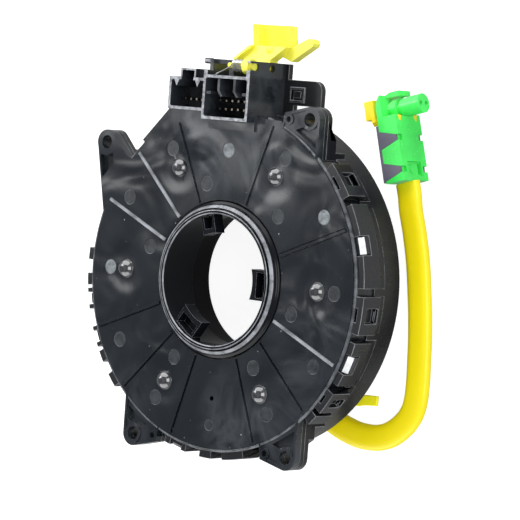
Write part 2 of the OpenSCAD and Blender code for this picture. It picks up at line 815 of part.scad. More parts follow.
module wheel_socket_pins() {
    color("#c9a24a")
        pins(6, -7.5, 3, [wheel_socket_y + wheel_socket.y / 2], 4.5, rotor_step_z);
}

// A plate of the lever, given in Y and Z: above the bay it slants along X by the grip's shift
module lever_plate(outline, x0, x1) {
    intersection() {
        x_plate(outline, x0, x1 + grip_shift);
        linear_extrude(main_rim_z)
            polygon([[x0, arm_y0 - cut], [x0, shelf_y0], [x0 + grip_shift, shelf_y1],
                [x0 + grip_shift, grip_top_y + cut], [x1 + grip_shift, grip_top_y + cut],
                [x1 + grip_shift, shelf_y1], [x1, shelf_y0], [x1, arm_y0 - cut]]);
    }
}

// Grip of the lock lever: a channel that leans back, and a wing on its right
module lever_grip() {
    for (flank = [[lever_x0, lever_x0 + 2.2], [lever_x1 - 1.6, lever_x1]])
        lever_plate([[shelf_y1 - 1, grip_z], [shelf_y1 - 1, shelf_z1 - 0.4], [grip_top_y, shelf_z1 + 0.8],
            [grip_top_y, grip_z + 1.6]], flank[0], flank[1]);
    lever_plate([[shelf_y1 - 1.6, grip_z], [shelf_y1 - 1.6, grip_z + 1.5], [grip_top_y, grip_z + 3.1],
        [grip_top_y, grip_z + 1.6]], lever_x0, lever_x1);
    translate([lever_x1, shelf_y0, grip_z + 0.2])
        linear_extrude(3.4)
            polygon([[0.6, 1.4], [4.4, 0], [12.2, 5], [12.6, 6], [12, 7.1], [10.6, 7.4], [2.6, 3.6]]);
}

// Sloped shelf from the bay's floor to the grip, with a rib on each side and a small boss
module lever_shelf() {
    lever_plate([[arm_y0, shelf_z0 - shelf_t + 0.6], [arm_y0, shelf_z0 + 0.6], [shelf_y0, shelf_z0],
        [shelf_y1, shelf_z1], [shelf_y1, grip_z], [shelf_y1 - shelf_t, grip_z],
        [shelf_y1 - shelf_t, shelf_z1 - 1.6], [shelf_y0 - 0.2, shelf_z0 - shelf_t - 0.4]],
        lever_x0, lever_x1);
    for (x = [lever_x0, lever_x1 - 1.3])
        lever_plate([[shelf_y0 - 2, shelf_z0 - 1], [shelf_y0 - 2, shelf_z0 + 1.6],
            [shelf_y0 + 0.3, shelf_z0 + 1.6], [shelf_y1, shelf_z1 + 1.8], [shelf_y1, shelf_z1 - 1]],
            x, x + 1.3);
    translate([lever_x0 + 11.6, (shelf_y0 + shelf_y1) / 2 + 0.8, (shelf_z0 + shelf_z1) / 2 - 1.4])
        sphere(r = 1.7);
}

module lock_lever() {
    color("#f3e02a") {
        x_plate([[arm_y0, shelf_z0], [arm_y0, hinge_z], [arm_y1, hinge_z], [arm_y1, shelf_z0]],
            lever_x1 - arm_w, lever_x1);
        x_pin(barrel_hinge_r, spring_x1 + 0.3, lever_x1, hinge_y, hinge_z);
        x_pin(hinge_pin_r, lever_x1 - 1, main_x1 - 0.8, hinge_y, hinge_z);
        x_pin(coil_core_r, spring_x0, spring_x1 + 1, hinge_y, hinge_z);
        x_pin(spindle_r, saddle_x0, spring_x1 + 1, hinge_y, hinge_z);
        lever_shelf();
        lever_grip();
    }
}

// Torsion spring: a close coil on the lever's spindle and one leg that reaches the socket's rim
module lever_spring() {
    pitch = (spring_x1 - spring_x0 - wire_d) / coil_turns;
    coil = [for (i = [0:coil_turns * coil_steps])
        let (a = 90 + 360 * i / coil_steps)
        [spring_x1 - wire_d / 2 - pitch * i / coil_steps, hinge_y + coil_r * cos(a),
            hinge_z + coil_r * sin(a)]];
    leg = [[spring_x0 - 0.3, hinge_y - 0.4, hinge_z + coil_r + 0.1],
        [spring_x0 - 2.6, hinge_y - 1.8, hinge_z + coil_r + 0.8],
        [spring_x0 - 4.4, main_y1 + 0.4, main_rim_z + wire_d / 2 + 0.1],
        [spring_x0 - 5, main_y1 - 0.3, main_rim_z + wire_d / 2 + 0.1]];
    color("#b9bdc2")
        wire_tube(concat(coil, leg), wire_d, 6);
}

// A round wire through points whose run is never along X
function wire_ring(at, way, d, sides) =
    let (t = unit(way), side = unit(cross(t, [1, 0, 0])), up = cross(side, t))
    [for (k = [0:sides - 1]) at + (side * cos(360 * k / sides) + up * sin(360 * k / sides)) * d / 2];

module wire_tube(path, d, sides) {
    points = [for (i = [0:len(path) - 1]) each wire_ring(path[i], along(path, i), d, sides)];
    polyhedron(points, tube_faces(len(path), sides));
}

module lead_clamp() {
    y0 = clamp_y - clamp_size.y / 2;
    y1 = clamp_y + clamp_size.y / 2 - 0.6;
    color("#202327")
        x_plate([[y0, rotor_z], [y0, 1.2], [y0 + 1, 0.2], [y1 - 1, 0.2], [y1, 1.2], [y1, rotor_z]],
            clamp_x1 - clamp_size.x, clamp_x1);
}

// Free tail of the band that ties the sleeve in its clamp
module lead_tie() {
    color("#f5dc1e")
        translate([0, 0, lead_t + 0.3])
            linear_extrude(1.2)
                polygon([[clamp_x1, -36], [40, -34.9], [42, -34.4], [46.7, -34.1], [46.8, -31],
                    [42, -31.2], [38, -32], [clamp_x1, -33]]);
}

module airbag_lead() {
    color("#ffe600")
        tube(lead_route, lead_w, lead_t, 10);
}

module at_plug() {
    translate([plug_at.x, plug_at.y, 0])
        rotate([0, 0, plug_turn])
            children();
}

// Places of the cover's flaps on the plug's upper and lower faces
module flap_outline(y, gap) {
    half = 3 + gap;
    tip = 0.9 + gap;
    tip_x = plug_w / 2 - 0.9 + gap;
    polygon([[-plug_w / 2 - plug_cover_t, y - half], [tip_x, y - tip], [tip_x, y + tip],
        [-plug_w / 2 - plug_cover_t, y + half]]);
}

module squib_flaps(gap) {
    for (low = [0, plug_h - flap_t - gap])
        translate([0, 0, low])
            linear_extrude(flap_t + gap)
                for (y = flaps)
                    flap_outline(y, gap);
}

// A prong of the key and its slot: a wedge with its edge towards the lead
module key_prong(x0, x1, gap) {
    half = key_t / 2 + gap;
    for (z = key_zs)
        x_plate([[key_y + key_w / 2 + gap, z - half], [key_y + key_w / 2 + gap, z + half],
            [key_y - key_w / 2 - gap, z + 0.3 + gap], [key_y - key_w / 2 - gap, z - 0.3 - gap]], x0, x1);
}

// Plug: its head is cut back round the barrel and closed by a slotted bridge at the end
module squib_body() {
    head_y0 = barrel_y - collar_r + 0.6;
    head_y1 = barrel_y + collar_r + head_gap;
    side_x = plug_w / 2;
    mid_z = plug_h / 2;
    color("#2fc84a")
        at_plug() {
            difference() {
                linear_extrude(plug_h)
                    polygon([[-side_x, 0], [side_x, 0], [side_x, plug_l], [0, plug_l],
                        [-side_x + 1.8, plug_l - 0.6], [-side_x + 0.6, plug_l - 2],
                        [-side_x, plug_l - 4.2]]);
                block(-head_x, plug_w, head_y0, head_y1, -cut, plug_h + cut);
                for (z = [-cut, mid_z + 3])
                    block(-head_x, plug_w, head_y1 - cut, plug_l + cut, z, z + mid_z - 3 + cut);
                block(head_x - 0.2, head_x + 1.2, head_y1 - cut, plug_l + cut, mid_z - 1.4, mid_z + 1.4);
                translate([0, 0, -0.001])
                    squib_flaps(seat_gap);
                translate([0, 0, 0.001])
                    squib_flaps(seat_gap);
                key_prong(-plug_w, plug_w, seat_gap);
                for (y = flaps, z = [-cut, plug_h - 2])
                    block(side_x - 0.9, plug_w, y - 0.9, y + 0.9, z, z + 2 + cut);
                block(side_x - 0.8, plug_w, 1.4, 5.8, mid_z - 3.4, mid_z + 3.4);
                block(side_x - 2.2, plug_w, 2, 5.2, mid_z - 3.4, mid_z - 2.4);
            }
            x_pin(1.3, side_x - 1.2, side_x - 0.5, 3.6, mid_z + 0.6);
            difference() {
                union() {
                    x_pin(collar_r, -head_x - 0.5, side_x + collar_l, barrel_y, mid_z);
                    x_pin(barrel_r, side_x + collar_l - 0.5, side_x + barrel_l, barrel_y, mid_z);
                    x_pin(barrel_r + 0.3, -0.4, head_x, barrel_y, mid_z);
                }
                difference() {
                    x_pin(barrel_r + cut, head_x, head_x + 1.1, barrel_y, mid_z);
                    x_pin(collar_r - 0.7, head_x - cut, head_x + 2 + cut, barrel_y, mid_z);
                }
                for (dz = [-1.3, 1.3])
                    x_pin(0.7, side_x + barrel_l - 6, side_x + barrel_l + cut, barrel_y, mid_z + dz);
                key_prong(-plug_w, plug_w, seat_gap);
            }
        }
}

module squib_cover() {
    color("#5d5c6a")
        at_plug() {
            block(-plug_w / 2 - plug_cover_t, -plug_w / 2, 0.4, key_y - key_w / 2 - 0.5, 0, plug_h);
            squib_flaps(0);
        }
}

// Locking key: two prongs joined by a head that is pushed in once the plug is home
module squib_key() {
    head_x1 = -plug_w / 2 - key_travel - 0.1;
    head_y0 = key_y + key_w / 2 + 0.3;
    color("#f4cf12")
        at_plug() {
            key_prong(head_x1 - 1.2, plug_w / 2, 0);
            for (z = key_zs)
                block(head_x1 - 1.2, head_x1, key_y, head_y0 + 1, z - key_t / 2, z + key_t / 2);
            block(head_x1 - 3.4, head_x1, head_y0, head_y0 + 5.8, key_zs[0] - 0.8, key_zs[1] + 0.8);
        }
}

module squib_contacts() {
    color("#c9a24a")
        at_plug()
            for (dz = [-1.3, 1.3])
                x_pin(0.5, plug_w / 2 + barrel_l - 6, plug_w / 2 + barrel_l - 1, barrel_y,
                    plug_h / 2 + dz);
}

cover();
case();
rotor();
lock_ring();
ribbon_cable();
upper_liner();
lower_liner();
outer_terminal_block();
inner_terminal_block();
main_socket_pins();
side_socket_pins();
lock_lever();
lever_spring();
wheel_socket_pins();
lead_clamp();
lead_tie();
airbag_lead();
squib_body();
squib_cover();
squib_key();
squib_contacts();
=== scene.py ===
import json
import math

import bmesh
import bpy
from mathutils import Matrix, Vector

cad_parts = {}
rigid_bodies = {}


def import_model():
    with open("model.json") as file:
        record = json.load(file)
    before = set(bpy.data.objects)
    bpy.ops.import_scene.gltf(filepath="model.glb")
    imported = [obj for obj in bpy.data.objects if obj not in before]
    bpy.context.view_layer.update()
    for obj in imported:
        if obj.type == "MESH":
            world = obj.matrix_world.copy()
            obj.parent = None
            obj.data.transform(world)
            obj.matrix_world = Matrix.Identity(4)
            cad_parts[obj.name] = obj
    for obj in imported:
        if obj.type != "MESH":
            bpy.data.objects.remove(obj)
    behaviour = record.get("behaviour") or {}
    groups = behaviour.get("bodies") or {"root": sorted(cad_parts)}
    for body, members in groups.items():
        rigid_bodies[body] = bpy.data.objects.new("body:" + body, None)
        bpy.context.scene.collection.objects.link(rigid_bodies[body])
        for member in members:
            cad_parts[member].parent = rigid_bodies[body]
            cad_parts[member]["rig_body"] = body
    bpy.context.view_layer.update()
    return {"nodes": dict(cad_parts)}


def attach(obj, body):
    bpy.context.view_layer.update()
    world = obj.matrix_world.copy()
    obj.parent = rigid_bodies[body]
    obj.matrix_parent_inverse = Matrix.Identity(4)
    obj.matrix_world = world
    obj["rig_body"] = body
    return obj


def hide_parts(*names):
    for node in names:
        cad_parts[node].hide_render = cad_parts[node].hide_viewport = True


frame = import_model()
scene = bpy.context.scene
nodes = frame["nodes"]
mm = 0.001
# distances in metres: points nearer than this are merged, and shorter edges are dropped
weld = {"fine": 2e-6, "cut": 2e-5, "edge": 1e-5}
print("frame loaded:", len(nodes), "nodes")


# camera: the photographer stands on the side of the lead, the picture is turned a quarter turn
shot = {
    "place": (0.640522, 0.060317, 0.795233),
    "right": (0.77076, 0.07330, -0.63290),
    "up": (-0.09049, 0.99588, 0.00514),
    "back": (0.63067, 0.05332, 0.77422),
    "lens": 226.36,
}


def addCamera(s):
    data = bpy.data.cameras.new("photoCamera")
    data.sensor_width = 36
    data.lens = s["lens"]
    data.clip_start = 0.01
    data.clip_end = 20
    cam = bpy.data.objects.new("photoCamera", data)
    scene.collection.objects.link(cam)
    turn = Matrix((s["right"], s["up"], s["back"])).transposed().to_4x4()
    cam.matrix_world = Matrix.Translation(s["place"]) @ turn
    scene.camera = cam


addCamera(shot)
scene.view_settings.view_transform = "Standard"
print("camera set")


# angle in degrees under which turned and swept shapes are shaded as one surface
softAngle = 50


# small helpers for meshes and node trees
def newObject(name, mesh):
    obj = bpy.data.objects.new(name, mesh)
    scene.collection.objects.link(obj)
    return obj


def meshFrom(name, verts, faces):
    mesh = bpy.data.meshes.new(name)
    mesh.from_pydata([tuple(v) for v in verts], [], faces)
    mesh.validate()
    return newObject(name, mesh)


# merges doubled points and turns every face outwards
def facedOut(obj):
    bm = bmesh.new()
    bm.from_mesh(obj.data)
    bmesh.ops.remove_doubles(bm, verts=bm.verts, dist=weld["cut"])
    bmesh.ops.dissolve_degenerate(bm, edges=bm.edges, dist=weld["edge"])
    bmesh.ops.recalc_face_normals(bm, faces=bm.faces)
    bm.to_mesh(obj.data)
    bm.free()
    return obj


def applyModifiers(obj):
    graph = bpy.context.evaluated_depsgraph_get()
    done = bpy.data.meshes.new_from_object(obj.evaluated_get(graph), depsgraph=graph)
    obj.modifiers.clear()
    obj.data = done
    return obj


def shadeByAngle(obj, degrees):
    obj.data.shade_smooth()
    obj.data.set_sharp_from_angle(angle=math.radians(degrees))


def paint(obj, *materials):
    obj.data.materials.clear()
    for m in materials:
        obj.data.materials.append(m)


def startMaterial(name):
    mat = bpy.data.materials.new(name)
    mat.use_nodes = True
    tree = mat.node_tree
    shader = tree.nodes["Principled BSDF"]
    coord = tree.nodes.new("ShaderNodeTexCoord")
    return mat, tree, shader, coord.outputs["Object"]


def noiseNode(tree, vector, scale, detail=4, rough=0.5, distort=0.0):
    n = tree.nodes.new("ShaderNodeTexNoise")
    n.inputs["Scale"].default_value = scale
    n.inputs["Detail"].default_value = detail
    n.inputs["Roughness"].default_value = rough
    n.inputs["Distortion"].default_value = distort
    tree.links.new(vector, n.inputs["Vector"])
    return n.outputs["Fac"]


def rampNode(tree, fac, stops):
    r = tree.nodes.new("ShaderNodeValToRGB")
    while len(r.color_ramp.elements) < len(stops):
        r.color_ramp.elements.new(0.5)
    for e, (at, c) in zip(r.color_ramp.elements, stops):
        e.position = at
        e.color = (*c, 1)
    tree.links.new(fac, r.inputs["Fac"])
    return r.outputs["Color"]


def rangeNode(tree, value, low, high, fromLow=0.3, fromHigh=0.7):
    r = tree.nodes.new("ShaderNodeMapRange")
    r.inputs["From Min"].default_value = fromLow
    r.inputs["From Max"].default_value = fromHigh
    r.inputs["To Min"].default_value = low
    r.inputs["To Max"].default_value = high
    tree.links.new(value, r.inputs["Value"])
    return r.outputs["Result"]


def mathNode(tree, kind, a, b):
    n = tree.nodes.new("ShaderNodeMath")
    n.operation = kind
    for socket, value in zip(n.inputs, (a, b)):
        if isinstance(value, (int, float)):
            socket.default_value = value
        else:
            tree.links.new(value, socket)
    return n.outputs[0]


def bumpNode(tree, height, strength, distance, normal=None):
    b = tree.nodes.new("ShaderNodeBump")
    b.inputs["Strength"].default_value = strength
    b.inputs["Distance"].default_value = distance
    tree.links.new(height, b.inputs["Height"])
    if normal is not None:
        tree.links.new(normal, b.inputs["Normal"])
    return b.outputs["Normal"]


def tintNode(tree, fac, color, tint):
    mix = tree.nodes.new("ShaderNodeMix")
    mix.data_type = "RGBA"
    tree.links.new(fac, mix.inputs["Factor"])
    tree.links.new(color, mix.inputs["A"])
    mix.inputs["B"].default_value = (*tint, 1)
    return mix.outputs["Result"]


# dust: 1 at the middle of each speck, and 0 from a distance of edge, counted in cells
def speckNode(tree, at, scale, edge):
    specks = tree.nodes.new("ShaderNodeTexVoronoi")
    specks.inputs["Scale"].default_value = scale
    tree.links.new(at, specks.inputs["Vector"])
    return rangeNode(tree, specks.outputs["Distance"], 1, 0, 0.03, edge)


# distance of a point from the origin of a plane
def lengthNode(tree, across, along):
    squares = mathNode(tree, "ADD", mathNode(tree, "MULTIPLY", across, across),
                       mathNode(tree, "MULTIPLY", along, along))
    return mathNode(tree, "SQRT", squares, 0)


# scales of the patterns that are the same on every piece, in repeats per metre
grains = {
    "smear": 160, "plastic": 2600, "plasticDust": 420,
    "facePatch": 26, "face": 2400, "faceDust": 380, "faceDustPatch": 140,
    "metal": 900,
}


# moulded plastic: cloudy colour and gloss, a fine grain, and specks of dust
def plastic(name, s):
    mat, tree, shader, at = startMaterial(name)
    cloud = noiseNode(tree, at, s.get("cloud", 60), 5, 0.6, 0.4)
    smear = noiseNode(tree, at, grains["smear"], 3, 0.6, 1.2)
    grain = noiseNode(tree, at, grains["plastic"], 2, 0.5)
    low = [c * s.get("low", 0.8) for c in s["color"]]
    high = [min(1, c * s.get("high", 1.25)) for c in s["color"]]
    color = rampNode(tree, cloud, [(0.35, low), (0.65, high)])
    if s.get("dust", 0) > 0:
        patch = rangeNode(tree, smear, 0, s["dust"], 0.5, 0.72)
        dots = mathNode(tree, "MULTIPLY", speckNode(tree, at, grains["plasticDust"], 0.09), patch)
        color = tintNode(tree, dots, color, (0.5, 0.52, 0.55))
    tree.links.new(color, shader.inputs["Base Color"])
    tree.links.new(rangeNode(tree, smear, *s["rough"]), shader.inputs["Roughness"])
    height = mathNode(tree, "ADD", mathNode(tree, "MULTIPLY", grain, 0.4), smear)
    normal = None
    if s.get("wave", 0) > 0:
        swell = noiseNode(tree, at, s.get("swell", 45), 1, 0.4, 0.6)
        normal = bumpNode(tree, swell, s["wave"], 0.0006)
    tree.links.new(bumpNode(tree, height, s.get("bump", 0.15), 0.00004, normal),
                   shader.inputs["Normal"])
    shader.inputs["IOR"].default_value = s.get("ior", 1.5)
    shader.inputs["Specular IOR Level"].default_value = s.get("gloss", 0.5)
    shader.inputs["Subsurface Weight"].default_value = s.get("soft", 0)
    shader.inputs["Subsurface Radius"].default_value = (0.003, 0.0025, 0.001)
    return mat


# polished face of the cover: thin pale lines of painted reflection in broad patches, a sink round each dome,
# dust and a pit
# (distances are in metres)
def moulded(name, s):
    mat, tree, shader, at = startMaterial(name)
    split = tree.nodes.new("ShaderNodeSeparateXYZ")
    tree.links.new(at, split.inputs[0])
    x, y = split.outputs["X"], split.outputs["Y"]
    reach = lengthNode(tree, x, y)
    turn = mathNode(tree, "ARCTAN2", y, x)
    sector = 2 * math.pi / s["domes"]
    shifted = mathNode(tree, "ADD", turn, sector / 2 + 4 * sector)
    folded = mathNode(tree, "SUBTRACT", mathNode(tree, "MODULO", shifted, sector), sector / 2)
    alongDome = mathNode(tree, "SUBTRACT", mathNode(tree, "MULTIPLY", reach,
                                                    mathNode(tree, "COSINE", folded, 0)), s["domeOrbit"])
    acrossDome = mathNode(tree, "MULTIPLY", reach, mathNode(tree, "SINE", folded, 0))
    gap = lengthNode(tree, alongDome, acrossDome)
    sink = tree.nodes.new("ShaderNodeMapRange")
    sink.interpolation_type = "SMOOTHERSTEP"
    sink.inputs["From Min"].default_value, sink.inputs["From Max"].default_value = s["sinkReach"]
    tree.links.new(gap, sink.inputs["Value"])

    swell = noiseNode(tree, at, s["swell"], 2, 0.45, 0.8)
    smoke = noiseNode(tree, at, s["smoke"], 3, 0.55, 1.6)
    patch = noiseNode(tree, at, grains["facePatch"], 1, 0.4, 0.3)
    # painted reflection: thin pale lines along the smoke pattern, only inside broad patches, mixed into the
    # colour
    band = mathNode(tree, "ABSOLUTE", mathNode(tree, "SUBTRACT", smoke, 0.5), 0)
    line = rangeNode(tree, band, 1, 0, 0.0, 0.14)
    paintedReflection = mathNode(tree, "MULTIPLY", line, rangeNode(tree, patch, 0, s["paintedReflection"], 0.5, 0.66))
    grain = noiseNode(tree, at, grains["face"], 2, 0.5)
    dustPatch = noiseNode(tree, at, grains["faceDustPatch"], 2, 0.6)
    dots = mathNode(tree, "MULTIPLY", speckNode(tree, at, grains["faceDust"], 0.1),
                    rangeNode(tree, dustPatch, 0, s["dust"], 0.56, 0.66))

    pitX = mathNode(tree, "SUBTRACT", x, s["pit"][0])
    pitY = mathNode(tree, "SUBTRACT", y, s["pit"][1])
    pit = rangeNode(tree, lengthNode(tree, pitX, pitY), 1, 0, *s["pitReach"])

    low = [c * 0.85 for c in s["color"]]
    high = [c * 1.2 for c in s["color"]]
    color = rampNode(tree, smoke, [(0.3, low), (0.7, high)])
    for fac, tint in ((paintedReflection, s["paintedReflectionTint"]), (dots, s["dustTint"]), (pit, (0, 0, 0))):
        color = tintNode(tree, fac, color, tint)
    tree.links.new(color, shader.inputs["Base Color"])
    tree.links.new(rangeNode(tree, smoke, *s["rough"]), shader.inputs["Roughness"])
    waves = mathNode(tree, "ADD", mathNode(tree, "MULTIPLY", swell, s["wave"]),
                     mathNode(tree, "MULTIPLY", sink.outputs["Result"], s["sink"]))
    tree.links.new(bumpNode(tree, grain, 0.05, 0.00002, bumpNode(tree, waves, 1, 0.001)),
                   shader.inputs["Normal"])
    shader.inputs["IOR"].default_value = s["ior"]
    tree.links.new(mathNode(tree, "SUBTRACT", 0.5, mathNode(tree, "MULTIPLY", pit, 0.5)),
                   shader.inputs["Specular IOR Level"])
    return mat


# drawn or plated metal with a fine grain
def metal(name, s):
    mat, tree, shader, at = startMaterial(name)
    lines = noiseNode(tree, at, grains["metal"], 3, 0.6, 0.5)
    low = [c * 0.82 for c in s["color"]]
    tree.links.new(rampNode(tree, lines, [(0.35, low), (0.65, s["color"])]),
                   shader.inputs["Base Color"])
    tree.links.new(rangeNode(tree, lines, *s["rough"]), shader.inputs["Roughness"])
    tree.links.new(bumpNode(tree, lines, 0.2, 0.00002), shader.inputs["Normal"])
    shader.inputs["Metallic"].default_value = 1
    return mat


finishes = {
    # the cover's colour carries pale lines of painted reflection
    "coverBlack": moulded("coverBlack", {"color": (0.008, 0.0105, 0.014), "rough": (0.17, 0.24), "swell": 42,
                                         "smoke": 38, "wave": 1.0, "sink": 0.3, "ior": 1.52,
                                         "domes": 6, "domeOrbit": 0.03822, "sinkReach": (0.003, 0.0095),
                                         "paintedReflection": 0.45, "paintedReflectionTint": (0.07, 0.078, 0.088),
                                         "dust": 0.9, "dustTint": (0.55, 0.57, 0.6),
                                         "pit": (0.0005, -0.0365), "pitReach": (0.0006, 0.0009)}),
    "caseBlack": plastic("caseBlack", {"color": (0.007, 0.008, 0.010), "rough": (0.26, 0.32), "low": 0.95,
                                       "high": 1.05, "bump": 0.04}),
    "rotorBlack": plastic("rotorBlack", {"color": (0.005, 0.005, 0.007), "rough": (0.12, 0.15), "bump": 0.02,
                                         "low": 0.98, "high": 1.02, "gloss": 0.2, "wave": 0.8, "swell": 60}),
    "ringBlack": plastic("ringBlack", {"color": (0.006, 0.007, 0.009), "rough": (0.14, 0.18), "bump": 0.02,
                                       "low": 0.98, "high": 1.02, "gloss": 0.22, "wave": 0.8, "swell": 60}),
    # painted highlight: light grey on the lock ring's rounded edges and sloped top
    "ringEdgeHighlight": plastic("ringEdgeHighlight", {"color": (0.22, 0.23, 0.25), "rough": (0.2, 0.35), "cloud": 300,
                                     "low": 0.5, "high": 1.5}),
    # painted highlight: light grey on the three ridges listed in places
    "ridgePaintedHighlight": plastic("ridgePaintedHighlight", {"color": (0.24, 0.25, 0.27), "rough": (0.25, 0.4), "cloud": 180,
                                         "low": 0.5, "high": 1.5}),
    "markGrey": plastic("markGrey", {"color": (0.022, 0.026, 0.03), "rough": (0.26, 0.4), "dust": 0.5,
                                     "low": 0.4, "high": 1.7, "cloud": 420}),
    "markPale": plastic("markPale", {"color": (0.17, 0.19, 0.2), "rough": (0.4, 0.6), "dust": 0.5,
                                     "cloud": 700, "low": 0.6, "high": 1.5}),
    "domeBlack": plastic("domeBlack", {"color": (0.014, 0.016, 0.019), "rough": (0.13, 0.17), "bump": 0.02,
                                       "ior": 2.2}),
    # painted sheen: the cover's lip is coloured much lighter than the black face
    "lipPaintedSheen": plastic("lipPaintedSheen", {"color": (0.08, 0.086, 0.095), "rough": (0.2, 0.35), "cloud": 220,
                                     "low": 0.3, "high": 1.8, "dust": 0.9}),
    # painted highlight: near white on the hooks' sloped faces seen in the arm windows
    "hookPaintedHighlight": plastic("hookPaintedHighlight", {"color": (0.8, 0.82, 0.84), "rough": (0.2, 0.35), "cloud": 300}),
    # pale rounded edges of the cover: partly wear, partly painted highlight
    "wornAndHighlightEdge": plastic("wornAndHighlightEdge", {"color": (0.29, 0.3, 0.32), "rough": (0.2, 0.35), "bump": 0.2,
                                     "cloud": 160, "low": 0.4, "high": 1.7}),
    # painted highlight: a lighter ring for the step at the edge of each ejector mark
    "markEdgeHighlight": plastic("markEdgeHighlight", {"color": (0.075, 0.082, 0.09), "rough": (0.2, 0.35), "bump": 0.1,
                                     "low": 0.3, "high": 1.6, "cloud": 260}),
    "wornRim": plastic("wornRim", {"color": (0.24, 0.25, 0.27), "rough": (0.3, 0.5), "bump": 0.4,
                                   "cloud": 700, "low": 0.45, "high": 1.8}),
    # painted highlight: grey on the case's rounded edges
    "caseEdgeHighlight": plastic("caseEdgeHighlight", {"color": (0.16, 0.165, 0.175), "rough": (0.18, 0.32), "cloud": 160,
                                     "low": 0.4, "high": 1.6}),
    "ribbonFilm": plastic("ribbonFilm", {"color": (0.42, 0.45, 0.48), "rough": (0.15, 0.3)}),
    "linerFilm": plastic("linerFilm", {"color": (0.6, 0.6, 0.55), "rough": (0.3, 0.5)}),
    "resin": plastic("resin", {"color": (0.62, 0.58, 0.5), "rough": (0.4, 0.6)}),
    "leverYellow": plastic("leverYellow", {"color": (0.98, 0.93, 0.1), "rough": (0.25, 0.4), "low": 0.97,
                                           "high": 1.02, "soft": 0.3}),
    "leadYellow": plastic("leadYellow", {"color": (0.97, 0.8, 0.002), "rough": (0.3, 0.45), "low": 0.97,
                                         "high": 1.02, "soft": 0.05}),
    "tieYellow": plastic("tieYellow", {"color": (0.95, 0.76, 0.01), "rough": (0.35, 0.5), "low": 0.92}),
    "plugGreen": plastic("plugGreen", {"color": (0.05, 0.72, 0.1), "rough": (0.16, 0.3), "low": 0.94,
                                       "soft": 0.1}),
    "plugGrey": plastic("plugGrey", {"color": (0.12, 0.115, 0.155), "rough": (0.35, 0.5)}),
    "keyYellow": plastic("keyYellow", {"color": (0.97, 0.62, 0.01), "rough": (0.3, 0.45), "low": 0.94}),
    # brass darkened as a painted shade, for pins that sit deep in their sockets
    "shadedBrassPins": metal("shadedBrassPins", {"color": (0.2, 0.18, 0.155), "rough": (0.3, 0.45)}),
    "springSteel": metal("springSteel", {"color": (0.75, 0.76, 0.78), "rough": (0.12, 0.25)}),
}
print("materials made:", len(finishes))


# cuts a flat face that has a hole in it, so that no face runs all the way round a hole
def cutThrough(bm, point, normal):
    geom = bm.verts[:] + bm.edges[:] + bm.faces[:]
    done = bmesh.ops.bisect_plane(bm, geom=geom, dist=1e-7, plane_co=point, plane_no=normal)
    for e in done["geom_cut"]:
        if isinstance(e, bmesh.types.BMEdge):
            e.seam = True


# gives faces in certain places their own finish: each rule is a slot number and a test
def paintPlaces(obj, rules):
    for p in obj.data.polygons:
        c = p.center / mm
        for slot, test in rules:
            if test(c, p.normal):
                p.material_index = slot


# faces whose triangles don't add up to their area, because a hole breaks them up
def badFaces(bm):
    area = {}
    for tri in bm.calc_loop_triangles():
        a, b, c = (loop.vert.co for loop in tri)
        f = tri[0].face
        area[f] = area.get(f, 0) + (b - a).cross(c - a).length / 2
    return [f for f, total in area.items() if abs(total - f.calc_area()) > 1e-4 * total + 1e-10]


# a closed block swept round the bore axis, from a profile of radius and height
def sectorBlock(name, profile, middle, width):
    count = len(profile)
    degreesPerStep = 1.4
    steps = max(2, round(width / degreesPerStep))
    verts, faces = [], []
    for i in range(steps + 1):
        a = math.radians(middle + width * (i / steps - 0.5))
        verts += [(r * math.cos(a) * mm, r * math.sin(a) * mm, z * mm) for r, z in profile]
    for i in range(steps):
        for k in range(count):
            n = (k + 1) % count
            faces.append((i * count + k, (i + 1) * count + k, (i + 1) * count + n, i * count + n))
    faces.append(tuple(reversed(range(count))))
    faces.append(tuple(steps * count + k for k in range(count)))
    return facedOut(meshFrom(name, verts, faces))


# the snap arms end above the drum's middle, and a box arm has a deep window between its two ends
# profiles are radius and height in millimetres, and each arm has its middle, its width and its
# window's width in degrees
armCuts = {
    "foot": [(52.65, 12.5), (58, 12.5), (58, 19.2), (55.0, 19.2), (52.65, 17.6)],
    "window": [(53.9, 20.6), (58, 20.6), (58, 25.4), (53.9, 25.4)],
    "margin": 0.6,
    "arms": [(38, 12, 4.8), (16, 27, 0), (-6, 12, 4.8), (-22.3, 15, 0), (-36.5, 8, 3.2), (-44.5, 4, 0),
             (-80, 9, 0), (-91.5, 5, 0), (-104.5, 9, 0), (-139.5, 5, 0), (-148.5, 4, 0),
             (-155.5, 7, 0), (-168.5, 7, 0), (-175, 4, 0), (176.5, 4, 0)],
}


def armCutters():
    cutters = []
    for middle, width, window in armCuts["arms"]:
        cutters.append(sectorBlock("armFoot", armCuts["foot"], middle, width + armCuts["margin"]))
        if window:
            cutters.append(sectorBlock("armWindow", armCuts["window"], middle, window))
    return cutters


# the CAD shape less its cutters; it has to be closed and to face outwards before the first cut
def cutAway(mesh, cutters):
    obj = facedOut(newObject("cutTarget", mesh))
    for cutter in cutters:
        m = obj.modifiers.new("cut", "BOOLEAN")
        m.operation = "DIFFERENCE"
        m.solver = "EXACT"
        m.object = cutter
        applyModifiers(obj)
        bpy.data.objects.remove(cutter)
    done = obj.data
    bpy.data.objects.remove(obj)
    return done


# width of the ring that is drawn inside the edge of an ejector mark as a painted highlight of its step, in
# millimetres
markRing = 0.22
# angles in degrees: faces that count as one, edges that are rounded, edges that stay sharp; and the
# pull of large faces on the shading
rounding = {"flat": 0.6, "edge": 32, "sharp": 40, "pull": 60}


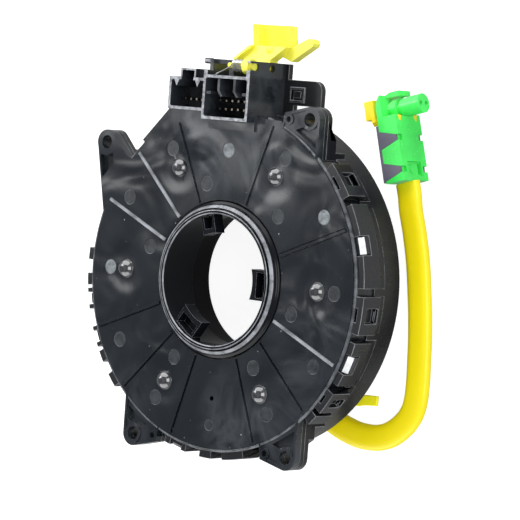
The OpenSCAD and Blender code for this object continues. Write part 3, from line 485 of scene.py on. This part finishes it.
# a CAD node's shape with its loose triangles merged and its edges rounded; cutters leave short edges,
# which would make every rounding vanish if overlaps were clamped
def roundedCopy(nodeName, pieceName, s):
    mesh = nodes[nodeName].data.copy()
    if "cutters" in s:
        mesh = cutAway(mesh, s["cutters"]())
    mesh.name = pieceName
    bm = bmesh.new()
    bm.from_mesh(mesh)
    bmesh.ops.remove_doubles(bm, verts=bm.verts, dist=weld["cut" if "cutters" in s else "fine"])
    bmesh.ops.dissolve_degenerate(bm, edges=bm.edges, dist=weld["edge"])
    for angle in s.get("radial", []):
        a = math.radians(angle)
        cutThrough(bm, (0, 0, 0), (-math.sin(a), math.cos(a), 0))
    for x in s.get("acrossX", []):
        cutThrough(bm, (x * mm, 0, 0), (1, 0, 0))
    for y in s.get("acrossY", []):
        cutThrough(bm, (0, y * mm, 0), (0, 1, 0))
    bmesh.ops.dissolve_limit(bm, angle_limit=math.radians(rounding["flat"]), verts=bm.verts, edges=bm.edges,
                             delimit={"SEAM"})
    bad = badFaces(bm)
    if bad:
        print("  faces cut up in", pieceName, len(bad))
        bmesh.ops.triangulate(bm, faces=bad)
    if "inset" in s:
        bm.faces.ensure_lookup_table()
        spots = [f for f in bm.faces if s["inset"](f.calc_center_median() / mm, f.normal)]
        bmesh.ops.inset_region(bm, faces=spots, thickness=markRing * mm, use_boundary=True,
                               use_even_offset=True)
    bm.to_mesh(mesh)
    bm.free()
    obj = newObject(pieceName, mesh)
    paint(obj, finishes[s["finish"]], finishes[s.get("edge", s["finish"])],
          *[finishes[name] for name, test in s.get("places", [])])
    for p in obj.data.polygons:
        p.material_index = 0
    paintPlaces(obj, [(i + 2, test) for i, (name, test) in enumerate(s.get("places", []))])
    bevel = obj.modifiers.new("round", "BEVEL")
    bevel.width = s["round"] * mm
    bevel.segments = s.get("steps", 2)
    bevel.limit_method = "ANGLE"
    bevel.angle_limit = math.radians(rounding["edge"])
    bevel.use_clamp_overlap = "cutters" not in s
    bevel.material = 1
    applyModifiers(obj)
    shadeByAngle(obj, rounding["sharp"])
    weigh = obj.modifiers.new("weigh", "WEIGHTED_NORMAL")
    weigh.mode = "FACE_AREA"
    weigh.weight = rounding["pull"]
    weigh.keep_sharp = True
    applyModifiers(obj)
    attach(obj, nodes[nodeName]["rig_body"])
    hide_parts(nodeName)
    return obj


# places that have their own finish, in millimetres and in degrees round the bore
places = {
    "markHeight": (27.8, 27.9), "markOrbit": 44.8, "markRadius": 2.4,
    "innerMark": 3, "innerMarkOrbit": 39.8, "smallMark": 9, "smallMarkRadius": 1.8,
    "boreMarkOrbit": 30, "boreMarks": (45, 105, 165, -122, -58, -15),
    "paleMarks": ((0, 39.8), (38.8, 22.4), (-44.8, 0)), "paleRadius": 2.6,
    "domes": 6, "domeOrbit": 38.22, "domeRadius": 3.15, "domeHeight": 28.02,
    "mainRimHeight": 32.3, "sideRimHeight": 27.9, "sideRimFrom": 51, "sideRimX": (-26, -8),
    "ringHeight": 29.6, "ringRadius": 20.1,
    "ridges": (-24.5, 134.5, 155.5), "ridgeHeight": 28.1, "ridgeFrom": 20, "ridgeHalfWidth": 0.7,
    "rampRadius": 53.4, "rampHeight": (24.8, 26.9), "rampFromX": 30,
}


def near(c, x, y):
    return math.hypot(c.x - x, c.y - y)


def roundSpot(radius, degrees):
    a = math.radians(degrees)
    return radius * math.cos(a), radius * math.sin(a)


def flatMark(c, n):
    return n.z > 0.9 and places["markHeight"][0] < c.z < places["markHeight"][1]


# the ring inside each mark's edge, which gets a painted highlight
def markRimHighlight(c, n):
    if not flatMark(c, n):
        return False
    spots = [(places["innerMarkOrbit"] if k == places["innerMark"] else places["markOrbit"], 30 * k,
              places["smallMarkRadius"] if k == places["smallMark"] else places["markRadius"])
             for k in range(12)]
    spots += [(places["boreMarkOrbit"], a, places["markRadius"]) for a in places["boreMarks"]]
    return any(size - markRing - 0.02 < near(c, *roundSpot(r, a)) < size + 0.1 for r, a, size in spots)


def paleMark(c, n):
    return flatMark(c, n) and any(near(c, *spot) < places["paleRadius"] for spot in places["paleMarks"])


def isDome(c, n):
    spots = [roundSpot(places["domeOrbit"], 360 / places["domes"] * k) for k in range(places["domes"])]
    raised = c.z > places["domeHeight"] and n.z > 0.2
    return raised and any(near(c, *spot) < places["domeRadius"] for spot in spots)


def socketRim(c, n):
    low, high = places["sideRimX"]
    side = c.z > places["sideRimHeight"] and c.y > places["sideRimFrom"] and low < c.x < high
    return n.z > 0.9 and (c.z > places["mainRimHeight"] or side)


# the ring's sloped top faces, which get a painted highlight
def ringHighlightFaces(c, n):
    return c.z > places["ringHeight"] and 0.2 < n.z < 0.985 and near(c, 0, 0) > places["ringRadius"]


# the ridges whose faces get a painted highlight
def isRidge(c, n):
    for angle in places["ridges"]:
        x, y = roundSpot(1, angle)
        along = c.x * x + c.y * y
        aside = abs(c.y * x - c.x * y)
        if c.z > places["ridgeHeight"] and along > places["ridgeFrom"] and aside < places["ridgeHalfWidth"]:
            return True
    return False


# sloped faces of the hooks, which get a painted highlight
def hookRamp(c, n):
    low, high = places["rampHeight"]
    outside = near(c, 0, 0) > places["rampRadius"] and c.x > places["rampFromX"]
    return outside and low < c.z < high and 0.3 < n.z < 0.95


# each piece: its finish, the radius of its edges, the planes that cut flat faces with holes (at angles
# round the bore, or at a place along x or y), and the places with a finish of their own
roundTheAxis = [0, 30, 60, 90, 120, 150]
rounded = {
    "cover": ("ribbedCover", {"finish": "coverBlack", "edge": "wornAndHighlightEdge", "round": 0.14,
                              "radial": roundTheAxis + [45, 105, 165, 58.2, 121.8, 59.1, 120.9, 142, 101.5],
                              "acrossX": [-17, -2.3, 0.9, 6], "acrossY": [55.5, 65.5],
                              "inset": flatMark,
                              "places": [("markGrey", flatMark), ("markPale", paleMark),
                                         ("markEdgeHighlight", markRimHighlight), ("domeBlack", isDome),
                                         ("wornRim", socketRim), ("hookPaintedHighlight", hookRamp),
                                         ("ridgePaintedHighlight", isRidge)]}),
    "case": ("drumCase", {"finish": "caseBlack", "edge": "caseEdgeHighlight", "round": 0.13, "cutters": armCutters,
                          "radial": [22.6 + 30 * k for k in range(6)] + [59.1, 120.9, 142], "acrossX": [15]}),
    "rotor": ("rotorHub", {"finish": "rotorBlack", "round": 0.15, "radial": roundTheAxis}),
    "lock_ring": ("lockRing", {"finish": "ringBlack", "edge": "ringEdgeHighlight", "round": 0.16,
                               "radial": roundTheAxis + [105.3, 54.5],
                               "places": [("ringEdgeHighlight", ringHighlightFaces)]}),
    "lead_clamp": ("leadClamp", {"finish": "rotorBlack", "round": 0.3}),
    "lock_lever": ("lockLever", {"finish": "leverYellow", "round": 0.25, "steps": 3}),
    "squib_body": ("squibBody", {"finish": "plugGreen", "round": 0.22, "steps": 3, "mirrored": False}),
    "squib_cover": ("squibCover", {"finish": "plugGrey", "round": 0.12}),
    "squib_key": ("squibKey", {"finish": "keyYellow", "round": 0.2}),
    "lead_tie": ("leadTie", {"finish": "tieYellow", "round": 0.3, "mirrored": False}),
}
for nodeName, (pieceName, s) in rounded.items():
    piece = roundedCopy(nodeName, pieceName, s)
    piece.visible_glossy = s.get("mirrored", True)
    print("rounded", pieceName, len(piece.data.polygons), "faces")

plain = {
    "ribbon_cable": "ribbonFilm", "upper_liner": "linerFilm", "lower_liner": "linerFilm",
    "outer_terminal_block": "resin", "inner_terminal_block": "resin", "main_socket_pins": "shadedBrassPins",
    "side_socket_pins": "shadedBrassPins", "wheel_socket_pins": "shadedBrassPins", "squib_contacts": "shadedBrassPins",
    "lever_spring": "springSteel",
}
for nodeName, finish in plain.items():
    paint(nodes[nodeName], finishes[finish])
print("CAD nodes painted")


# a closed profile of radius and height, turned all the way round the bore axis
def lathe(name, profile, steps):
    verts, faces = [], []
    count = len(profile)
    for i in range(steps):
        a = 2 * math.pi * i / steps
        verts += [(r * math.cos(a) * mm, r * math.sin(a) * mm, z * mm) for r, z in profile]
        for k in range(count):
            b, c = i * count, (i + 1) % steps * count
            n = (k + 1) % count
            faces.append((b + k, c + k, c + n, b + n))
    return meshFrom(name, verts, faces)


# outer flank of the ring, which falls to the sleeve's edge
collarShape = {
    "profile": [(22.95, 27.1), (23.95, 27.1), (24.05, 28.0), (23.95, 28.35), (23.7, 28.55),
                (23.35, 28.7), (23.2, 29.0), (23.1, 29.4), (22.95, 29.62), (22.92, 29.4)],
    "steps": 180,
}
collar = lathe("ringCollar", collarShape["profile"], collarShape["steps"])
shadeByAngle(collar, softAngle)
paint(collar, finishes["ringBlack"])
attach(collar, nodes["lock_ring"]["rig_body"])

# rounded lip of the cover between the face and the snap arms, lighter in colour as a painted sheen: an oval
# that follows an arc
lipSteps = {"arc": 300, "section": 16}
lipSizes = {
    "Arc Radius": 52.34 * mm, "Arc Start": math.radians(126), "Arc Sweep": math.radians(308),
    "Arc Height": 27.2 * mm, "Section Width": 0.56 * mm, "Section Height": 0.63 * mm,
}


def sweptLip(name, sizes, material):
    tree = bpy.data.node_groups.new(name + "Tree", "GeometryNodeTree")
    tree.interface.new_socket("Mesh", in_out="OUTPUT", socket_type="NodeSocketGeometry")
    tree.interface.new_socket("Mesh", in_out="INPUT", socket_type="NodeSocketGeometry")
    keys = {label: tree.interface.new_socket(label, in_out="INPUT", socket_type="NodeSocketFloat").identifier
            for label in sizes}
    start = tree.nodes.new("NodeGroupInput").outputs
    end = tree.nodes.new("NodeGroupOutput")
    link = tree.links.new

    arc = tree.nodes.new("GeometryNodeCurveArc")
    arc.inputs["Resolution"].default_value = lipSteps["arc"]
    link(start["Arc Radius"], arc.inputs["Radius"])
    link(start["Arc Start"], arc.inputs["Start Angle"])
    link(start["Arc Sweep"], arc.inputs["Sweep Angle"])
    lift = tree.nodes.new("ShaderNodeCombineXYZ")
    link(start["Arc Height"], lift.inputs["Z"])
    raised = tree.nodes.new("GeometryNodeTransform")
    link(arc.outputs["Curve"], raised.inputs["Geometry"])
    link(lift.outputs[0], raised.inputs["Translation"])

    circle = tree.nodes.new("GeometryNodeCurvePrimitiveCircle")
    circle.inputs["Resolution"].default_value = lipSteps["section"]
    circle.inputs["Radius"].default_value = 1
    size = tree.nodes.new("ShaderNodeCombineXYZ")
    link(start["Section Width"], size.inputs["X"])
    link(start["Section Height"], size.inputs["Y"])
    size.inputs["Z"].default_value = 1
    oval = tree.nodes.new("GeometryNodeTransform")
    link(circle.outputs["Curve"], oval.inputs["Geometry"])
    link(size.outputs[0], oval.inputs["Scale"])

    sweep = tree.nodes.new("GeometryNodeCurveToMesh")
    sweep.inputs["Fill Caps"].default_value = True
    link(raised.outputs[0], sweep.inputs["Curve"])
    link(oval.outputs[0], sweep.inputs["Profile Curve"])
    real = tree.nodes.new("GeometryNodeRealizeInstances")
    link(sweep.outputs[0], real.inputs[0])
    tint = tree.nodes.new("GeometryNodeSetMaterial")
    tint.inputs["Material"].default_value = material
    link(real.outputs[0], tint.inputs["Geometry"])
    link(tint.outputs[0], end.inputs[0])

    obj = newObject(name, bpy.data.meshes.new(name))
    m = obj.modifiers.new("sweep", "NODES")
    m.node_group = tree
    for label, value in sizes.items():
        m[keys[label]] = value
    return facedOut(applyModifiers(obj))


lip = sweptLip("coverLip", lipSizes, finishes["lipPaintedSheen"])
shadeByAngle(lip, softAngle)
paint(lip, finishes["lipPaintedSheen"])
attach(lip, nodes["cover"]["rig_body"])
print("collar and lip made:", len(collar.data.polygons), len(lip.data.polygons), "faces")


# the airbag lead: a soft, flat sleeve along a line of points, from under the drum to the plug
lead = {
    "width": 8.0, "thick": 4.0, "sides": 28, "corner": 0.7, "stepsPerSpan": 4,
    "route": [(14, -37, 2), (18, -37, 2), (22, -38, 2), (26, -39.8, 2), (30, -41.6, 2), (34, -43, 2),
              (38.5, -44, 2), (43, -44.2, 2), (47, -43.7, 2), (50.6, -42.3, 2), (53.7, -40.1, 2),
              (56.3, -37.4, 2), (58.1, -34.2, 2), (58.9, -30.6, 2), (59.1, -27, 2), (59.1, -23.5, 2),
              (58.9, -18.5, 2), (58.7, -13.5, 2), (58.3, -8.5, 2), (57.8, -3.5, 2), (57.2, 1, 2),
              (56.6, 5.3, 2), (56, 9, 2), (55.5, 12.4, 2.2), (55, 16, 2.7), (54.6, 19.6, 3.4),
              (54.2, 23.1, 4.3), (53.9, 26.7, 5.3), (53.716, 30.688, 6.05), (52.727, 34.254, 6.15)],
}


# a smooth line through every point, with a few steps in each span
def smoothRoute(points, perSpan):
    pts = [Vector(p) for p in points]
    out = []
    for i in range(len(pts) - 1):
        a = pts[max(i - 1, 0)]
        b, c = pts[i], pts[i + 1]
        d = pts[min(i + 2, len(pts) - 1)]
        for k in range(perSpan):
            t = k / perSpan
            out.append(0.5 * ((2 * b) + (c - a) * t + (2 * a - 5 * b + 4 * c - d) * t * t
                              + (3 * b - a - 3 * c + d) * t ** 3))
    out.append(pts[-1])
    return out


# a closed tube with a flat section that keeps level along its route; a corner power under 1 squares it
def flatTube(name, route, s):
    verts, faces = [], []
    count, sides = len(route), s["sides"]
    for i, p in enumerate(route):
        way = (route[min(i + 1, count - 1)] - route[max(i - 1, 0)]).normalized()
        across = way.cross(Vector((0, 0, 1))).normalized()
        up = across.cross(way)
        for k in range(sides):
            a = 2 * math.pi * k / sides
            x = math.copysign(abs(math.cos(a)) ** s["corner"], math.cos(a))
            z = math.copysign(abs(math.sin(a)) ** s["corner"], math.sin(a))
            verts.append((p + across * (s["width"] / 2 * x) + up * (s["thick"] / 2 * z)) * mm)
    for i in range(count - 1):
        for k in range(sides):
            a = i * sides + k
            b = i * sides + (k + 1) % sides
            faces.append((a, a + sides, b + sides, b))
    faces.append(tuple(range(sides)))
    faces.append(tuple((count - 1) * sides + k for k in reversed(range(sides))))
    obj = meshFrom(name, verts, faces)
    facedOut(obj)
    shadeByAngle(obj, softAngle)
    return obj


leadRoute = smoothRoute(lead["route"], lead["stepsPerSpan"])
sleeve = flatTube("airbagLead", leadRoute, lead)
paint(sleeve, finishes["leadYellow"])
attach(sleeve, "rotor")
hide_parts("airbag_lead")
sleeve.visible_glossy = False


# pale floor, white to the camera, that keeps the shadow
def addFloor(s):
    n = s["reach"]
    floor = meshFrom("floor", [(-n, -n, s["z"]), (n, -n, s["z"]), (n, n, s["z"]), (-n, n, s["z"])],
                     [(0, 1, 2, 3)])
    mat, tree, shader, at = startMaterial("paleFloor")
    shader.inputs["Base Color"].default_value = (s["color"],) * 3 + (1,)
    shader.inputs["Roughness"].default_value = 0.9
    shader.inputs["Specular IOR Level"].default_value = 0.1
    path = tree.nodes.new("ShaderNodeLightPath")
    mirrored = mathNode(tree, "MAXIMUM", path.outputs["Is Glossy Ray"], path.outputs["Is Transmission Ray"])
    seen = mathNode(tree, "MAXIMUM", mathNode(tree, "MULTIPLY", path.outputs["Is Camera Ray"], s["lift"]),
                    mathNode(tree, "MULTIPLY", mirrored, s["glossLift"]))
    tree.links.new(seen, shader.inputs["Emission Strength"])
    shader.inputs["Emission Color"].default_value = (1, 1, 1, 1)
    floor.data.materials.append(mat)


addFloor({"reach": 1.5, "z": -0.0002, "color": 0.5, "lift": 0.88, "glossLift": 0.1})


# soft studio light: a large box on each side of the drum, one in front of it, and a dim one that the
# face mirrors
lamps = {
    "upperBox": {"place": (-0.22, 1.1, 0.55), "aim": (0, 0, 0.02), "size": (2.0, 1.3), "power": 22},
    "lowerBox": {"place": (-0.12, -1.15, 0.5), "aim": (0, 0, 0.02), "size": (2.0, 1.1), "power": 14},
    "mirrorBox": {"place": (-0.86, 0.36, 0.95), "aim": (0, 0, 0.02), "size": (0.55, 0.55), "power": 4.8},
    "frontBox": {"place": (1.15, 0.1, 0.75), "aim": (0, 0, 0.02), "size": (0.9, 0.9), "power": 9},
}


def addLamps(boxes):
    for name, s in boxes.items():
        data = bpy.data.lights.new(name, "AREA")
        data.shape = "RECTANGLE"
        data.size, data.size_y = s["size"]
        data.energy = s["power"]
        lamp = bpy.data.objects.new(name, data)
        scene.collection.objects.link(lamp)
        place = Vector(s["place"])
        lamp.matrix_world = Matrix.Translation(place) @ (
            (place - Vector(s["aim"])).to_track_quat("Z", "Y").to_matrix().to_4x4())


addLamps(lamps)


# surroundings: white to the camera, otherwise pale near the floor and dim overhead, as in a light tent
def addWorld(s):
    world = bpy.data.worlds.new("studio")
    scene.world = world
    world.use_nodes = True
    tree = world.node_tree
    back = tree.nodes["Background"]
    coord = tree.nodes.new("ShaderNodeTexCoord")
    split = tree.nodes.new("ShaderNodeSeparateXYZ")
    tree.links.new(coord.outputs["Generated"], split.inputs[0])
    tone = rampNode(tree, split.outputs["Z"], s["tones"])
    rays = tree.nodes.new("ShaderNodeLightPath")
    seen = tintNode(tree, rays.outputs["Is Camera Ray"], tone, (1, 1, 1))
    tree.links.new(seen, back.inputs["Color"])


addWorld({"tones": [(0.0, (0.55, 0.56, 0.58)), (0.3, (0.5, 0.51, 0.53)), (0.6, (0.3, 0.31, 0.33)),
                    (0.8, (0.2, 0.21, 0.23)), (1.0, (0.5, 0.5, 0.5))]})
print("floor and lamps set")
